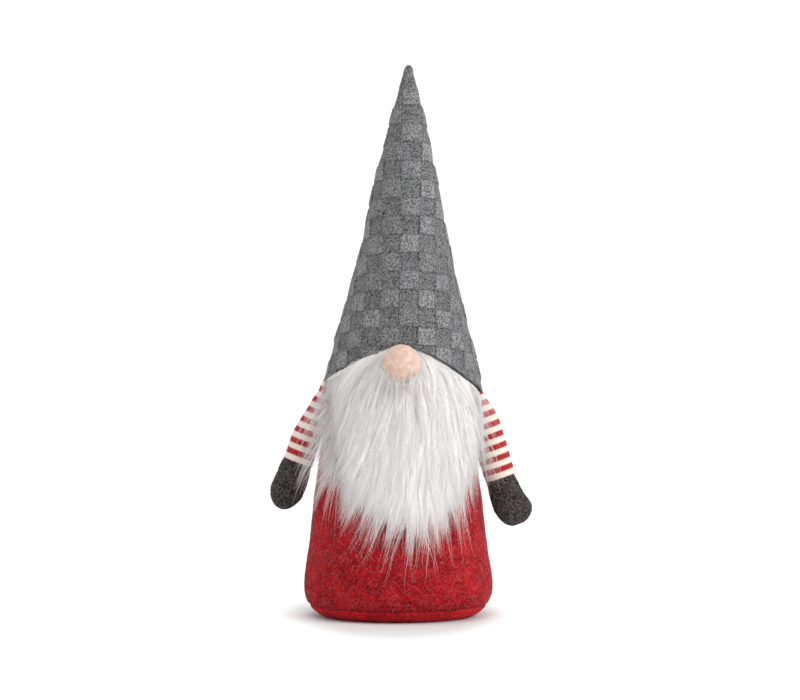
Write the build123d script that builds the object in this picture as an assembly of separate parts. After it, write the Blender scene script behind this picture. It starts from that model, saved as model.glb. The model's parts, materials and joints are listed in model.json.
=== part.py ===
from build123d import *
import math
import os
from dataclasses import dataclass

# A tomte: a stuffed felt gnome with a tall pointed hat, a round nose, a long fur beard and two
# hanging arms. Millimetres, +Z up. The origin is the centre of the flat round foot. The gnome
# faces -Y, so its own left arm is on the +X side.

# Driving dimensions
HEIGHT = 480.0  # from the foot to the tip of the hat
FELT = 1.8  # thickness of the felt of hat, body and base
KNIT = 1.2  # thickness of the knitted sleeves, the nose's cloth and the beard's backing
EASE = 0.3  # room between neighbouring layers
THREAD = 0.8  # diameter of the sewing thread
ROOMY = 4 * HEIGHT  # size of the blocks that are only used to cut

# Body, a bell shape turned about Z: a rounded foot, a straight side and a domed crown
FOOT_R = 64.0
BELLY_R = 82.0
BELLY_Z = 25.0
HIP_R = 80.4
HIP_Z = 45.0
NECK_R = 60.5
NECK_Z = 199.0
CROWN_Z = 255.0
SEAM_Z = 10.5  # where the base panel is sewn to the body's cover

# Weight and card in the foot
DISC = 2.0  # thickness of the card
DISC_EDGE = 4.0  # from the foot's edge to the card's edge
PELLETS_TOP = 38.0
PELLETS_ROUNDING = 10.0

# Hat, a felt cone in a frame of its own: its origin is the middle of the brim
BRIM_R = 70.2
BRIM_Z = 198.0
HAT_X = 3.5  # the brim sits a little towards the left arm
HAT_LEAN = 1.2  # degrees, towards the left arm
TIP_R = 5.2
HAT_SKIRT = BRIM_R / 5  # the cone is drawn this far on below its brim and then trimmed
BRIM_TILT = 2.4  # degrees, brim lower on the left arm's side
ARCH_X = -3.0  # the brim's front edge rises to a rounded peak over the nose
ARCH_RISE = 49.0
ARCH_ROUNDING = 18.0
BEND_RISE = 137.0  # height of the hat's bend above the brim
BEND_LIMIT = 35.0  # degrees, each way
BEND_RELIEF = 2.0  # degrees of extra room at the limits

# Wire that stiffens the hat
WIRE_R = 1.0
WIRE_LOOP_R = 2.6
WIRE_GAP = 1.8  # from the bend's axis to the end of each wire

# Nose
NOSE_R = 16.2
NOSE_X = 3.0
NOSE_Y = -76.0
NOSE_Z = 225.6
NOSE_THREAD_R = 1.5  # the wound thread behind the nose
NOSE_THREAD = 3.0
NOSE_PASSAGE_R = 2.5  # opening in the fur behind the nose, for that thread

# Beard: a fur panel whose top is sewn down under the brim and whose lower part hangs free
BEARD_HINGE_Y = -61.5
BEARD_HINGE_Z = 203.0
BEARD_LIMIT = 35.0  # degrees
BEARD_RELIEF = 5.0  # degrees of extra room at the limit
BEARD_STRIP = 3.0  # bare strip of backing above the hinge, where the stitches lie
BEARD_TOP_HALF = 50.0  # half its width at the hinge
BEARD_WIDE_HALF = 57.0  # half its width at its widest
BEARD_WIDE_Z = 165.0
BEARD_TAPER_LEFT = 50.0  # x of its outline on the left arm's side where it tapers
BEARD_TAPER_RIGHT = -40.0
BEARD_TAPER_Z = 110.0
BEARD_TIP_X = 8.0
BEARD_TIP_Z = 56.0
BEARD_BACK_Y = -27.0  # the sewn top goes this far back on both sides
BEARD_TUCK = 6.0  # how far the backing reaches up under the brim
BRIM_GAP = 1.0  # from the fur to the brim
BEARD_STITCHES = 9
BEARD_STITCH_TURN = 10.0  # degrees round the body from stitch to stitch
FUR = 12.0  # thickness of the lying fur

# Arms: knitted sleeves sewn in under the brim, with felt mittens
MITTEN = 44.0  # length of a mitten
GATHER_R = 2.2  # gathered top of the sleeve, where the arm hangs
STRIP = (1.2, 8.0, 9.0)  # sleeve's flat end that is sewn down under the brim
STRIP_SLANT = 11.0  # degrees, so that it follows the crown
STRIP_INSET = 2.0  # from the shoulder in towards the body
STRIP_GAP = 3 * EASE  # from the gathered top up to the flat end
CUFF_STITCHES = 14
# Ovals down the sleeve, as shares of its length with half their width and depth: pinched flat
# against the body at the top, and full at the cuff
SLEEVE_OVALS = ((0.05, 2.3, 4), (0.2, 5.0, 8.5), (0.5, 10.0, 11), (0.8, 12.8, 10.5), (1, 13, 9.6))
# Ovals down the mitten, which closes in a point
MITTEN_OVALS = ((0, 13, 9.6), (0.35, 14, 9.8), (0.6, 13.2, 9.4), (0.82, 9.6, 7.4), (0.94, 5.4, 4.6))

STITCH_PITCH = 8.0
STITCH = 4.5  # length of one stitch


@dataclass
class Arm:
    """One arm: which side it is on, where it hangs, how far it hangs outwards and its length."""

    name: str
    side: int
    x: float
    z: float
    slant: float
    length: float

    @property
    def cuff(self):
        """Distance down the arm to the seam between sleeve and mitten."""
        return self.length - MITTEN

    @property
    def place(self):
        """The arm's own frame: its origin is the shoulder, and the arm runs down its -Z."""
        return Pos(self.side * self.x, 0, self.z) * Rot(0, -self.side * self.slant, 0)


ARMS = (
    Arm("right", -1, 63.5, 199.0, 20.3, 113.0),
    Arm("left", 1, 65.5, 190.5, 18.5, 118.0),
)

HAT_H = (HEIGHT - BRIM_Z) / math.cos(math.radians(HAT_LEAN))
HAT_SLOPE = (BRIM_R - TIP_R) / (HAT_H - TIP_R)
HAT_PLACE = Pos(HAT_X, 0, BRIM_Z) * Rot(0, HAT_LEAN, 0)
BEND_PLACE = HAT_PLACE * Pos(0, 0, BEND_RISE)
SIDE_SLOPE = (HIP_R - NECK_R) / (NECK_Z - HIP_Z)
WIRE_FOOT = CROWN_Z - BRIM_Z + 3 * WIRE_LOOP_R  # heights of the wire's eyes above the brim
WIRE_TOP = HAT_H - 6 * WIRE_LOOP_R


# Shapes that several pieces share


def turned(edges):
    """The solid turned about Z from an outline of (radius, height) edges, closed on the axis."""
    return revolve(Plane.XZ * make_face(edges), Axis.Z)


def body_shape(inset=0.0):
    """The body's bell shape, drawn in by inset all round, or grown where inset is negative."""
    bottom = (0, inset)
    foot = (FOOT_R, inset)
    belly = (BELLY_R - inset, BELLY_Z)
    hip = (HIP_R - inset, HIP_Z)
    neck = (NECK_R - inset, NECK_Z)
    crown = (0, CROWN_Z - inset)
    return turned(
        [
            Line(bottom, foot),
            TangentArc(belly, foot, tangent=(0, -1)),
            TangentArc(belly, hip, tangent=(0, 1)),
            Line(hip, neck),
            Spline(neck, crown, tangents=((-SIDE_SLOPE, 1), (-1, 0))),
            Line(crown, bottom),
        ]
    )


def between(low, high):
    """A block that takes in everything between two heights."""
    return Pos(0, 0, (low + high) / 2) * Box(ROOMY, ROOMY, high - low)


def hat_radius(rise):
    """Outer radius of the hat at a height above its brim."""
    return BRIM_R - HAT_SLOPE * rise


def hat_shape(inset=0.0):
    """The hat's full cone in its own frame, drawn in by inset, and a little longer than the brim."""
    tip = HAT_H - 2 * inset
    foot = (hat_radius(-HAT_SKIRT) - inset, -HAT_SKIRT)
    shoulder = (TIP_R - inset / 2, tip - TIP_R + inset / 2)
    return turned(
        [
            Line((0, -HAT_SKIRT), foot),
            Line(foot, shoulder),
            Spline(shoulder, (0, tip), tangents=((-HAT_SLOPE, 1), (-1, 0))),
            Line((0, tip), (0, -HAT_SKIRT)),
        ]
    )


def front_prism(outline):
    """The space in front of the body behind an outline of (x, z), which is a flat face."""
    return extrude(Plane.XZ * outline, ROOMY / 2)


def arch(margin=0.0):
    """The space under the brim's edge, in the hat's frame, grown by margin."""
    half = BRIM_R + margin
    peak = ARCH_RISE + margin
    outline = make_face(Polyline((-half, 0), (half, 0), (ARCH_X, peak), close=True))
    top = outline.vertices().sort_by(Axis.Y)[-1]
    opening = front_prism(fillet(top, ARCH_ROUNDING))
    return Rot(0, BRIM_TILT, 0) * (opening + between(-ROOMY / 2, margin))


def bend_roof(gap):
    """Everything under the two slopes that the hat's upper part leans onto, in the hat's frame."""
    drop = math.tan(math.radians(BEND_LIMIT + BEND_RELIEF)) * BRIM_R
    ridge = BEND_RISE - gap
    outline = Polyline(
        (0, ridge),
        (BRIM_R, ridge - drop),
        (BRIM_R, -BRIM_R),
        (-BRIM_R, -BRIM_R),
        (-BRIM_R, ridge - drop),
        close=True,
    )
    return extrude(Plane.XZ * make_face(outline), BRIM_R + ROOMY / 8, both=True)


def stitch_row(places):
    """One group of equal stitches, each a short thread along the Z of its place."""
    return Compound([place * Cylinder(THREAD / 2, STITCH) for place in places])


# Body and base


def base_panel():
    """Round felt bottom, turned up to the seam."""
    shell = body_shape() - body_shape(FELT)
    return shell & between(-ROOMY / 2, SEAM_Z - EASE / 2)


def base_disc():
    """Stiff card that keeps the foot flat."""
    return Pos(0, 0, FELT + EASE + DISC / 2) * Cylinder(FOOT_R - DISC_EDGE, DISC)


def pellet_shape(inset):
    """The squat shape of the bag of pellets, drawn in by inset."""
    low = FELT + EASE + DISC + EASE + inset
    high = PELLETS_TOP - inset
    block = Pos(0, 0, (low + high) / 2) * Cylinder(FOOT_R - inset, high - low)
    return fillet(block.edges().filter_by(GeomType.CIRCLE), PELLETS_ROUNDING - inset)


def weight_bag():
    """Thin cloth bag of the weight in the foot."""
    return pellet_shape(0) - pellet_shape(KNIT / 2)


def weight_pellets():
    """Fill of the weight in the foot."""
    return pellet_shape(KNIT / 2 + EASE)


def body_cover():
    """Red felt cover, from the base seam to the crown under the hat."""
    shell = body_shape() - body_shape(FELT)
    return shell & between(SEAM_Z + EASE / 2, ROOMY / 2)


def body_stuffing():
    """Fibre fill of the body, above the weight."""
    return body_shape(FELT + EASE) & between(PELLETS_TOP + EASE, ROOMY / 2)


def base_seam_stitches():
    """Stitches round the seam between cover and base panel."""
    spread = BELLY_R - FOOT_R
    rounding = (spread**2 + BELLY_Z**2) / (2 * spread)
    drop = BELLY_Z - SEAM_Z
    radius = BELLY_R - rounding + math.sqrt(rounding**2 - drop**2) + THREAD
    count = round(2 * math.pi * radius / STITCH_PITCH)
    return stitch_row(
        Rot(0, 0, 360 * i / count) * Pos(radius, 0, SEAM_Z) * Rot(90, 0, 0)
        for i in range(count)
    )


def body_seam_stitches():
    """Stitches down the back seam of the body's cover."""
    lean = math.degrees(math.atan(SIDE_SLOPE))
    count = int((NECK_Z - HIP_Z - STITCH_PITCH) / STITCH_PITCH)
    heights = [HIP_Z + STITCH_PITCH * (i + 0.5) for i in range(count)]
    return stitch_row(
        Pos(0, HIP_R - SIDE_SLOPE * (z - HIP_Z) + THREAD, z) * Rot(lean, 0, 0)
        for z in heights
    )


# Hat


def hat_shell():
    """The whole felt cone with its arched brim, in the hat's frame."""
    return hat_shape() - hat_shape(FELT) - arch()


def hat_fill():
    """The whole fibre fill of the hat above the body's crown, with room for the wire."""
    bore = Cylinder(WIRE_R + EASE, ROOMY)
    height = between(WIRE_FOOT + WIRE_LOOP_R, WIRE_TOP - WIRE_LOOP_R)
    return (hat_shape(FELT + EASE) & height) - bore


def upper_part():
    """Everything above the hat's bend, in the hat's frame."""
    return between(BEND_RISE + EASE, ROOMY / 2)


def hat_cone():
    """Lower part of the felt hat, from the brim to the bend."""
    return HAT_PLACE * (hat_shell() & bend_roof(EASE))


def hat_tip_cone():
    """Upper part of the felt hat, from the bend to the tip."""
    return HAT_PLACE * (hat_shell() & upper_part())


def hat_stuffing():
    """Fibre fill of the hat's lower part."""
    return HAT_PLACE * (hat_fill() & bend_roof(2 * EASE))


def hat_tip_stuffing():
    """Fibre fill of the hat's upper part."""
    return HAT_PLACE * (hat_fill() & upper_part())


def wire(low, high, loop_at):
    """A straight wire along the hat's axis with its end at loop_at bent into a closed eye."""
    rod = Pos(0, 0, (low + high) / 2) * Cylinder(WIRE_R, high - low)
    outwards = 1 if loop_at == high else -1
    eye = Pos(0, 0, loop_at + outwards * WIRE_LOOP_R) * Rot(90, 0, 0)
    return HAT_PLACE * (rod + eye * Torus(WIRE_LOOP_R, WIRE_R))


def hat_wire():
    """Stiffening wire of the hat's lower part, with an eye that rests on the body's crown."""
    return wire(WIRE_FOOT, BEND_RISE - WIRE_GAP, WIRE_FOOT)


def hat_tip_wire():
    """Stiffening wire of the hat's upper part, with an eye under the tip."""
    return wire(BEND_RISE + WIRE_GAP, WIRE_TOP, WIRE_TOP)


def hat_seam(low, high):
    """Stitches down the hat's back seam between two heights above the brim."""
    lean = math.degrees(math.atan(HAT_SLOPE))
    count = int((high - low) / STITCH_PITCH)
    rises = [low + STITCH_PITCH * (i + 0.5) for i in range(count)]
    return HAT_PLACE * stitch_row(
        Pos(0, hat_radius(rise) + THREAD, rise) * Rot(lean, 0, 0) for rise in rises
    )


def hat_seam_stitches():
    """Back seam of the hat's lower part."""
    return hat_seam(STITCH_PITCH, BEND_RISE - STITCH_PITCH)


def hat_tip_seam_stitches():
    """Back seam of the hat's upper part."""
    return hat_seam(BEND_RISE + STITCH_PITCH, HAT_H - 3 * STITCH_PITCH)


# Nose


def nose_ball(inset):
    """The nose's round shape, drawn in by inset."""
    return Pos(NOSE_X, NOSE_Y, NOSE_Z) * Sphere(NOSE_R - inset)


def nose_cover():
    """Cloth of the nose."""
    return nose_ball(0) - nose_ball(KNIT)


def nose_stuffing():
    """Fibre fill of the nose."""
    return nose_ball(KNIT + EASE)


def nose_thread():
    """Wound thread that gathers the nose's cloth behind it and sews it on."""
    middle = NOSE_Y + NOSE_R + EASE + NOSE_THREAD / 2
    return Pos(NOSE_X, middle, NOSE_Z) * Rot(90, 0, 0) * Cylinder(NOSE_THREAD_R, NOSE_THREAD)


# Beard


def beard_layer(inner, outer):
    """A layer that wraps the front of the body, between two distances from its surface."""
    return body_shape(-outer) - body_shape(-inner)


def hanging_outline():
    """Front view of the hanging part of the beard: wide at the top, with a rounded point."""
    top = BEARD_HINGE_Z - EASE
    left_top = (BEARD_TOP_HALF, top)
    left_wide = (BEARD_WIDE_HALF, BEARD_WIDE_Z)
    left_taper = (BEARD_TAPER_LEFT, BEARD_TAPER_Z)
    tip = (BEARD_TIP_X, BEARD_TIP_Z)
    right_taper = (BEARD_TAPER_RIGHT, BEARD_TAPER_Z)
    right_wide = (-BEARD_WIDE_HALF, BEARD_WIDE_Z)
    right_top = (-BEARD_TOP_HALF, top)
    edges = [
        Line(right_top, left_top),
        Spline(left_top, left_wide, left_taper, tip),
        Spline(tip, right_taper, right_wide, right_top),
    ]
    return make_face(edges)


def hinge_relief():
    """The wedge above the hanging beard that lets it lift under the part that is sewn down."""
    reach = 4 * FUR
    drop = reach * math.tan(math.radians(BEARD_LIMIT + BEARD_RELIEF))
    outline = Polyline(
        (BEARD_HINGE_Y, BEARD_HINGE_Z),
        (BEARD_HINGE_Y - reach, BEARD_HINGE_Z),
        (BEARD_HINGE_Y - reach, BEARD_HINGE_Z - drop),
        close=True,
    )
    return extrude(Plane.YZ * make_face(outline), ROOMY / 8, both=True)


def beard_backing():
    """Woven backing of the hanging part of the beard."""
    layer = beard_layer(2 * EASE, 2 * EASE + KNIT)
    return (layer & front_prism(hanging_outline())) - hinge_relief()


def beard_fur():
    """Fur of the hanging part of the beard."""
    layer = beard_layer(3 * EASE + KNIT, FUR)
    return (layer & front_prism(hanging_outline())) - hinge_relief()


def sewn_part(layer, margin, bottom):
    """The part of a beard layer above a height that shows under the arch of the brim."""
    shown = HAT_PLACE * arch(margin)
    front = Pos(0, BEARD_BACK_Y - ROOMY / 4, 0) * Box(ROOMY, ROOMY / 2, ROOMY)
    return layer & shown & front & between(bottom, ROOMY / 2)


def beard_backing_top():
    """Backing of the beard's top, which reaches up under the brim."""
    layer = beard_layer(2 * EASE, 2 * EASE + KNIT)
    return sewn_part(layer, BEARD_TUCK, BEARD_HINGE_Z + EASE)


def beard_fur_top():
    """Fur of the beard's top, round the nose and below the brim."""
    layer = beard_layer(3 * EASE + KNIT, FUR)
    hole = Pos(NOSE_X, 0, NOSE_Z) * Rot(90, 0, 0) * Cylinder(NOSE_PASSAGE_R, ROOMY)
    fur = sewn_part(layer, -BRIM_GAP, BEARD_HINGE_Z + BEARD_STRIP)
    return fur - nose_ball(-EASE) - hole


def beard_stitches():
    """Stitches that sew the beard's top down, just above the hinge."""
    radius = NECK_R + 2 * EASE + KNIT + THREAD
    height = BEARD_HINGE_Z + BEARD_STRIP / 2
    first = -BEARD_STITCH_TURN * (BEARD_STITCHES - 1) / 2
    return stitch_row(
        Rot(0, 0, first + BEARD_STITCH_TURN * i) * Pos(0, -radius, height) * Rot(0, 90, 0)
        for i in range(BEARD_STITCHES)
    )


# Arms


def arm_section(distance, half_width, half_depth, inset):
    """One oval across the arm, in the arm's frame."""
    return Pos(0, 0, -distance) * Ellipse(half_width - inset, half_depth - inset)


def sleeve_sections(arm, inset):
    """Ovals down the sleeve, drawn in by inset."""
    return [arm_section(arm.cuff * t, w, d, inset) for t, w, d in SLEEVE_OVALS]


def mitten_sections(arm, inset):
    """Ovals down the mitten to the point that ends it, drawn in by inset."""
    long = MITTEN - inset
    ovals = [arm_section(arm.cuff + long * t, w, d, inset) for t, w, d in MITTEN_OVALS]
    return ovals + [Vertex(0, 0, -(arm.length - inset))]


def sleeve(arm):
    """Knitted sleeve, open at both ends."""
    tube = loft(sleeve_sections(arm, 0)) - loft(sleeve_sections(arm, KNIT))
    return arm.place * (tube & between(-(arm.cuff - EASE / 2), 0))


def mitten(arm):
    """Felt mitten, open at the cuff."""
    shell = loft(mitten_sections(arm, 0)) - loft(mitten_sections(arm, FELT))
    return arm.place * (shell & between(-ROOMY / 2, -(arm.cuff + EASE / 2)))


def sleeve_stuffing(arm):
    """Fibre fill of the sleeve."""
    fill = loft(sleeve_sections(arm, KNIT + EASE))
    return arm.place * (fill & between(-(arm.cuff - EASE), 0))


def mitten_stuffing(arm):
    """Fibre fill of the mitten."""
    fill = loft(mitten_sections(arm, FELT + EASE))
    return arm.place * (fill & between(-ROOMY / 2, -(arm.cuff + EASE)))


def cuff_stitches(arm):
    """Stitches round the seam between sleeve and mitten."""
    angles = [2 * math.pi * i / CUFF_STITCHES for i in range(CUFF_STITCHES)]
    _, half_width, half_depth = SLEEVE_OVALS[-1]
    half_width += THREAD
    half_depth += THREAD
    return arm.place * stitch_row(
        Pos(half_width * math.cos(a), half_depth * math.sin(a), -arm.cuff) for a in angles
    )


def sleeve_gather(arm):
    """Gathered top of the sleeve, which the arm hangs and turns by."""
    return arm.place * Sphere(GATHER_R)


def strip_place(arm):
    """Where the sleeve's flat end lies between the body's crown and the brim."""
    middle_z = arm.z + GATHER_R + STRIP_GAP + STRIP[2] / 2
    return Pos(arm.side * (arm.x - STRIP_INSET), 0, middle_z) * Rot(0, -arm.side * STRIP_SLANT, 0)


def sleeve_end(arm):
    """Flat end of the sleeve, sewn to the body under the brim."""
    return strip_place(arm) * Box(*STRIP)


def shoulder_stitches(arm):
    """Stitches across the sleeve's flat end."""
    outside = arm.side * ((STRIP[0] + THREAD) / 2 + EASE / 3)
    low = -STRIP[2] / 3
    return strip_place(arm) * stitch_row(
        Pos(outside, y, low) for y in (-STRIP[1] / 3, 0, STRIP[1] / 3)
    )


PIECES = (
    base_panel,
    base_disc,
    weight_bag,
    weight_pellets,
    body_cover,
    body_stuffing,
    base_seam_stitches,
    body_seam_stitches,
    hat_cone,
    hat_stuffing,
    hat_wire,
    hat_seam_stitches,
    hat_tip_cone,
    hat_tip_stuffing,
    hat_tip_wire,
    hat_tip_seam_stitches,
    nose_cover,
    nose_stuffing,
    nose_thread,
    beard_backing,
    beard_fur,
    beard_backing_top,
    beard_fur_top,
    beard_stitches,
)

ARM_PIECES = (
    sleeve,
    mitten,
    sleeve_stuffing,
    mitten_stuffing,
    cuff_stitches,
    sleeve_gather,
    sleeve_end,
    shoulder_stitches,
)


def main():
    """Write one STEP file for each piece, and print the places of the joints."""
    os.makedirs("parts", exist_ok=True)
    for piece in PIECES:
        export_step(piece(), f"parts/{piece.__name__}.step")
    for arm in ARMS:
        for piece in ARM_PIECES:
            export_step(piece(arm), f"parts/{arm.name}_{piece.__name__}.step")
    print("hat bend at", BEND_PLACE.position)
    print("beard hinge at", (0, BEARD_HINGE_Y, BEARD_HINGE_Z))
    for arm in ARMS:
        print(arm.name, "shoulder at", arm.place.position)


main()
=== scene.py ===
import json
import math

import bpy
import numpy as np
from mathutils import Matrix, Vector, noise
from mathutils.bvhtree import BVHTree


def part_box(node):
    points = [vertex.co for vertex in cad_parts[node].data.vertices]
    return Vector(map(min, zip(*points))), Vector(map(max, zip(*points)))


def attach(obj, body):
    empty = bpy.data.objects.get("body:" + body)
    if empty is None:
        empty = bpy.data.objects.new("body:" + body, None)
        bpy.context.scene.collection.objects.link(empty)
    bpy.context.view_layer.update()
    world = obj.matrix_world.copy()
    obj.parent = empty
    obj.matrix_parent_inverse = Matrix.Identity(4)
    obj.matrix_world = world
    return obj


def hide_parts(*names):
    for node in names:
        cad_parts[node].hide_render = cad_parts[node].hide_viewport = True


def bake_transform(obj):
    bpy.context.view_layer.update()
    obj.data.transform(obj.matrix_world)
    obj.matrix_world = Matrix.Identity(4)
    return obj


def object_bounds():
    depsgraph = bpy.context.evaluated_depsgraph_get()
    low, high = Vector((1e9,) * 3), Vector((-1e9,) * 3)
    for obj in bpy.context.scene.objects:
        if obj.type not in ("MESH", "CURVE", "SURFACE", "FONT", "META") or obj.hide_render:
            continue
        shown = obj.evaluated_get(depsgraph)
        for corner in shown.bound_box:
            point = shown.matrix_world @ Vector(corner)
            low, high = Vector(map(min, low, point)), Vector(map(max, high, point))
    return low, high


# A tomte: a stuffed felt gnome with a tall checked hat, a round nose, a long fur beard and two
# hanging arms. The gnome faces -Y. Angles round the body are measured from its front towards +X.
# Shapes are worked out in millimetres and become metres where their mesh is made.

MM = 0.001
DEG = math.pi / 180
FRONT = np.array((0.0, -1.0, 0.0))

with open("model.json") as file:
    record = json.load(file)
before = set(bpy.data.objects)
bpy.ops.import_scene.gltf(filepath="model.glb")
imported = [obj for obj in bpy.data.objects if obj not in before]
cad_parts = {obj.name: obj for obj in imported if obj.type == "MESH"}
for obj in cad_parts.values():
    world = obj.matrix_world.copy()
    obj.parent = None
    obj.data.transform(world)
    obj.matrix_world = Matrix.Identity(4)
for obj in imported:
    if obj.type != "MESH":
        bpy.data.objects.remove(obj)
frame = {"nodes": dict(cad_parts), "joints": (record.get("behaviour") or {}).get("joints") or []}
cad_low, cad_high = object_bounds()


# Places read from the frame


def box_of(node):
    """Lowest and highest corner of a CAD node, in millimetres."""
    low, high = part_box(node)
    return np.array(low) / MM, np.array(high) / MM


JOINT_AT = {j["name"]: np.array(j["pos_m"]) / MM for j in frame["joints"]}
TOP = cad_high.z / MM
SEAM_Z = (box_of("base_panel")[1][2] + box_of("body_cover")[0][2]) / 2
CROWN_Z = box_of("body_cover")[1][2]
BEND = JOINT_AT["hat_bend"]
BEARD_HINGE = JOINT_AT["beard_lift"]
NOSE = np.mean(box_of("nose_cover"), axis=0)
NOSE_R = np.ptp(box_of("nose_cover"), axis=0)[0] / 2

FELT = 1.8  # thickness of the felt
BRIM_LOW = 199.0  # the brim's edge at the back
BODY_COLUMNS = 300
HAT_COLUMNS = 380


def ease(t):
    """Smooth step from 0 to 1 as t goes from 0 to 1."""
    t = np.clip(t, 0, 1)
    return t * t * (3 - 2 * t)


def curve(knots, at):
    """A smooth curve through (place, value) knots, which stays level beyond its ends."""
    x, y = np.array(knots, float).T
    slope = np.gradient(y, x)
    at = np.clip(at, x[0], x[-1])
    i = np.clip(np.searchsorted(x, at) - 1, 0, len(x) - 2)
    gap = x[i + 1] - x[i]
    t = (at - x[i]) / gap
    start = (1 + 2 * t) * (1 - t) ** 2 * y[i] + t * (1 - t) ** 2 * gap * slope[i]
    return start + t * t * (3 - 2 * t) * y[i + 1] + t * t * (t - 1) * gap * slope[i + 1]


def unit(vectors):
    """Vectors scaled to length 1."""
    return vectors / np.maximum(np.linalg.norm(vectors, axis=-1, keepdims=True), 1e-9)


def soft_noise(points, size, seed):
    """Smooth noise from -1 to 1 at each point, with features about size millimetres across."""
    flat = (np.reshape(points, (-1, 3)) / size + 31.7 * seed).tolist()
    return np.array([noise.noise(p) for p in flat]).reshape(np.shape(points)[:-1])


def full_turn(count):
    """Angles of count even steps round a full turn."""
    return np.arange(count) * 2 * math.pi / count


def wrapped(angle):
    """The same angle between -pi and pi."""
    return (angle + math.pi) % (2 * math.pi) - math.pi


def around(radius, angle, z, middle=0.0):
    """Points at a radius and an angle round a vertical axis at x = middle."""
    radius, angle, z = np.broadcast_arrays(radius, angle, z)
    return np.stack([middle + radius * np.sin(angle), -radius * np.cos(angle), z], axis=-1)


def cad_profile(nodes, heights, middle):
    """(height, radius) knots of CAD nodes, measured from behind where the outline is whole."""
    knots = []
    for node in nodes:
        mesh = frame["nodes"][node].data
        faces = [p.vertices for p in mesh.polygons]
        tree = BVHTree.FromPolygons([v.co for v in mesh.vertices], faces)
        for z in heights:
            x = middle(z)
            hit = tree.ray_cast(Vector((x * MM, 1, z * MM)), Vector((0, -1, 0)))[0]
            if hit:
                knots.append((z, hit.y / MM))
    return sorted(knots)


def hat_middle(z):
    """x of the hat's leaning axis at a height."""
    return BEND[0] + (z - BEND[2]) * HAT_LEAN


tip = max((v.co for v in frame["nodes"]["hat_tip_cone"].data.vertices), key=lambda co: co.z)
HAT_LEAN = (tip.x / MM - BEND[0]) / (TOP - BEND[2])
HAT_HEIGHTS = np.linspace(BRIM_LOW + 7, TOP - 8, 16)
HAT_PROFILE = cad_profile(("hat_cone", "hat_tip_cone"), HAT_HEIGHTS, hat_middle)
FOOT_HEIGHTS = (0.4, 1.5, 3.5, 7, 11, 14.5, 20, 27, 36)
SIDE_HEIGHTS = (50, 75, 100, 125, 150, 175, 198, 212, 226, 240, 250)
BODY_PROFILE = cad_profile(("base_panel", "body_cover"), FOOT_HEIGHTS + SIDE_HEIGHTS, lambda z: 0)


def body_radius(z):
    """Outer radius of the body at a height."""
    return curve(BODY_PROFILE, z)


# Meshes


def ring_grid(rows, columns):
    """Point numbers along rings, those beside them, and the quads from ring to ring."""
    here = np.arange(rows * columns).reshape(rows, columns)
    beside = np.roll(here, -1, axis=1)
    quads = np.stack([here[:-1], here[1:], beside[1:], beside[:-1]], axis=-1)
    return here, beside, quads.reshape(-1, 4)


def closed_form(rings):
    """Points, quads and triangles of a closed form through rings, with a pole at each end."""
    rows, columns = rings.shape[:2]
    points = np.concatenate([rings.reshape(-1, 3), rings[[0, -1]].mean(axis=1)])
    here, beside, quads = ring_grid(rows, columns)
    quads = quads[:, [0, 3, 2, 1]]
    first, last = rows * columns, rows * columns + 1
    start = np.stack([np.full(columns, first), beside[0], here[0]], axis=-1)
    end = np.stack([np.full(columns, last), here[-1], beside[-1]], axis=-1)
    triangles = np.concatenate([start, end])
    a, b, c, _ = points[quads].transpose(1, 0, 2)
    if (a * np.cross(b, c)).sum() < 0:
        quads, triangles = quads[:, ::-1], triangles[:, ::-1]
    return points, quads, triangles


def grid_normals(rings):
    """Outward normals of rings that run round a form from its open edge to its closed end."""
    across = np.roll(rings, -1, axis=1) - np.roll(rings, 1, axis=1)
    along = np.gradient(rings, axis=0)
    return unit(np.cross(across, along))


def felt_bag(outside, skip=8):
    """Rings of a felt bag from its outside, which runs from the open edge to the closed end.

    The inside is smooth, so it takes only one ring in skip.
    """
    inward = grid_normals(outside) * FELT
    if (inward * (outside - outside.mean(axis=(0, 1)))).sum() < 0:
        inward = -inward
    chosen = sorted({0, len(outside) - 1, *range(0, len(outside), skip)})
    inside = (outside - inward)[chosen]
    beyond = unit(outside[0] - outside[2]) * FELT / 2
    middle, half = (outside[0] + inside[0]) / 2, (outside[0] - inside[0]) / 2
    turns = np.linspace(0, math.pi, 5)[1:-1, None, None]
    edge = middle - half * np.cos(turns) + beyond * np.sin(turns)
    return np.concatenate([inside[::-1], edge, outside])


def tubes(paths, radii, up):
    """Thin three-sided tubes along paths, which are (tubes, steps, 3), each ending in a point."""
    sides = 3
    count, steps = paths.shape[:2]
    ahead = unit(np.gradient(paths, axis=1))
    side = unit(np.cross(ahead, up[:, None]))
    lift = np.cross(side, ahead)
    turn = full_turn(sides)
    spoke = side[:, :-1, None] * np.cos(turn)[:, None] + lift[:, :-1, None] * np.sin(turn)[:, None]
    radii = np.broadcast_to(radii, (count, steps))[:, :-1, None, None]
    rings = paths[:, :-1, None] + spoke * radii
    per_tube = (steps - 1) * sides + 1
    points = np.concatenate([rings.reshape(count, -1, 3), paths[:, -1:]], axis=1).reshape(-1, 3)
    first = (np.arange(count) * per_tube)[:, None]
    here, beside, quad = ring_grid(steps - 1, sides)
    quads = (first + quad.reshape(1, -1)).reshape(-1, 4)
    point = np.stack([beside[-1], here[-1], np.full(sides, per_tube - 1)], axis=-1).reshape(1, -1)
    ends = (first + point).reshape(-1, 3)
    return points, quads, np.concatenate([ends, first + here[0]])


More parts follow.
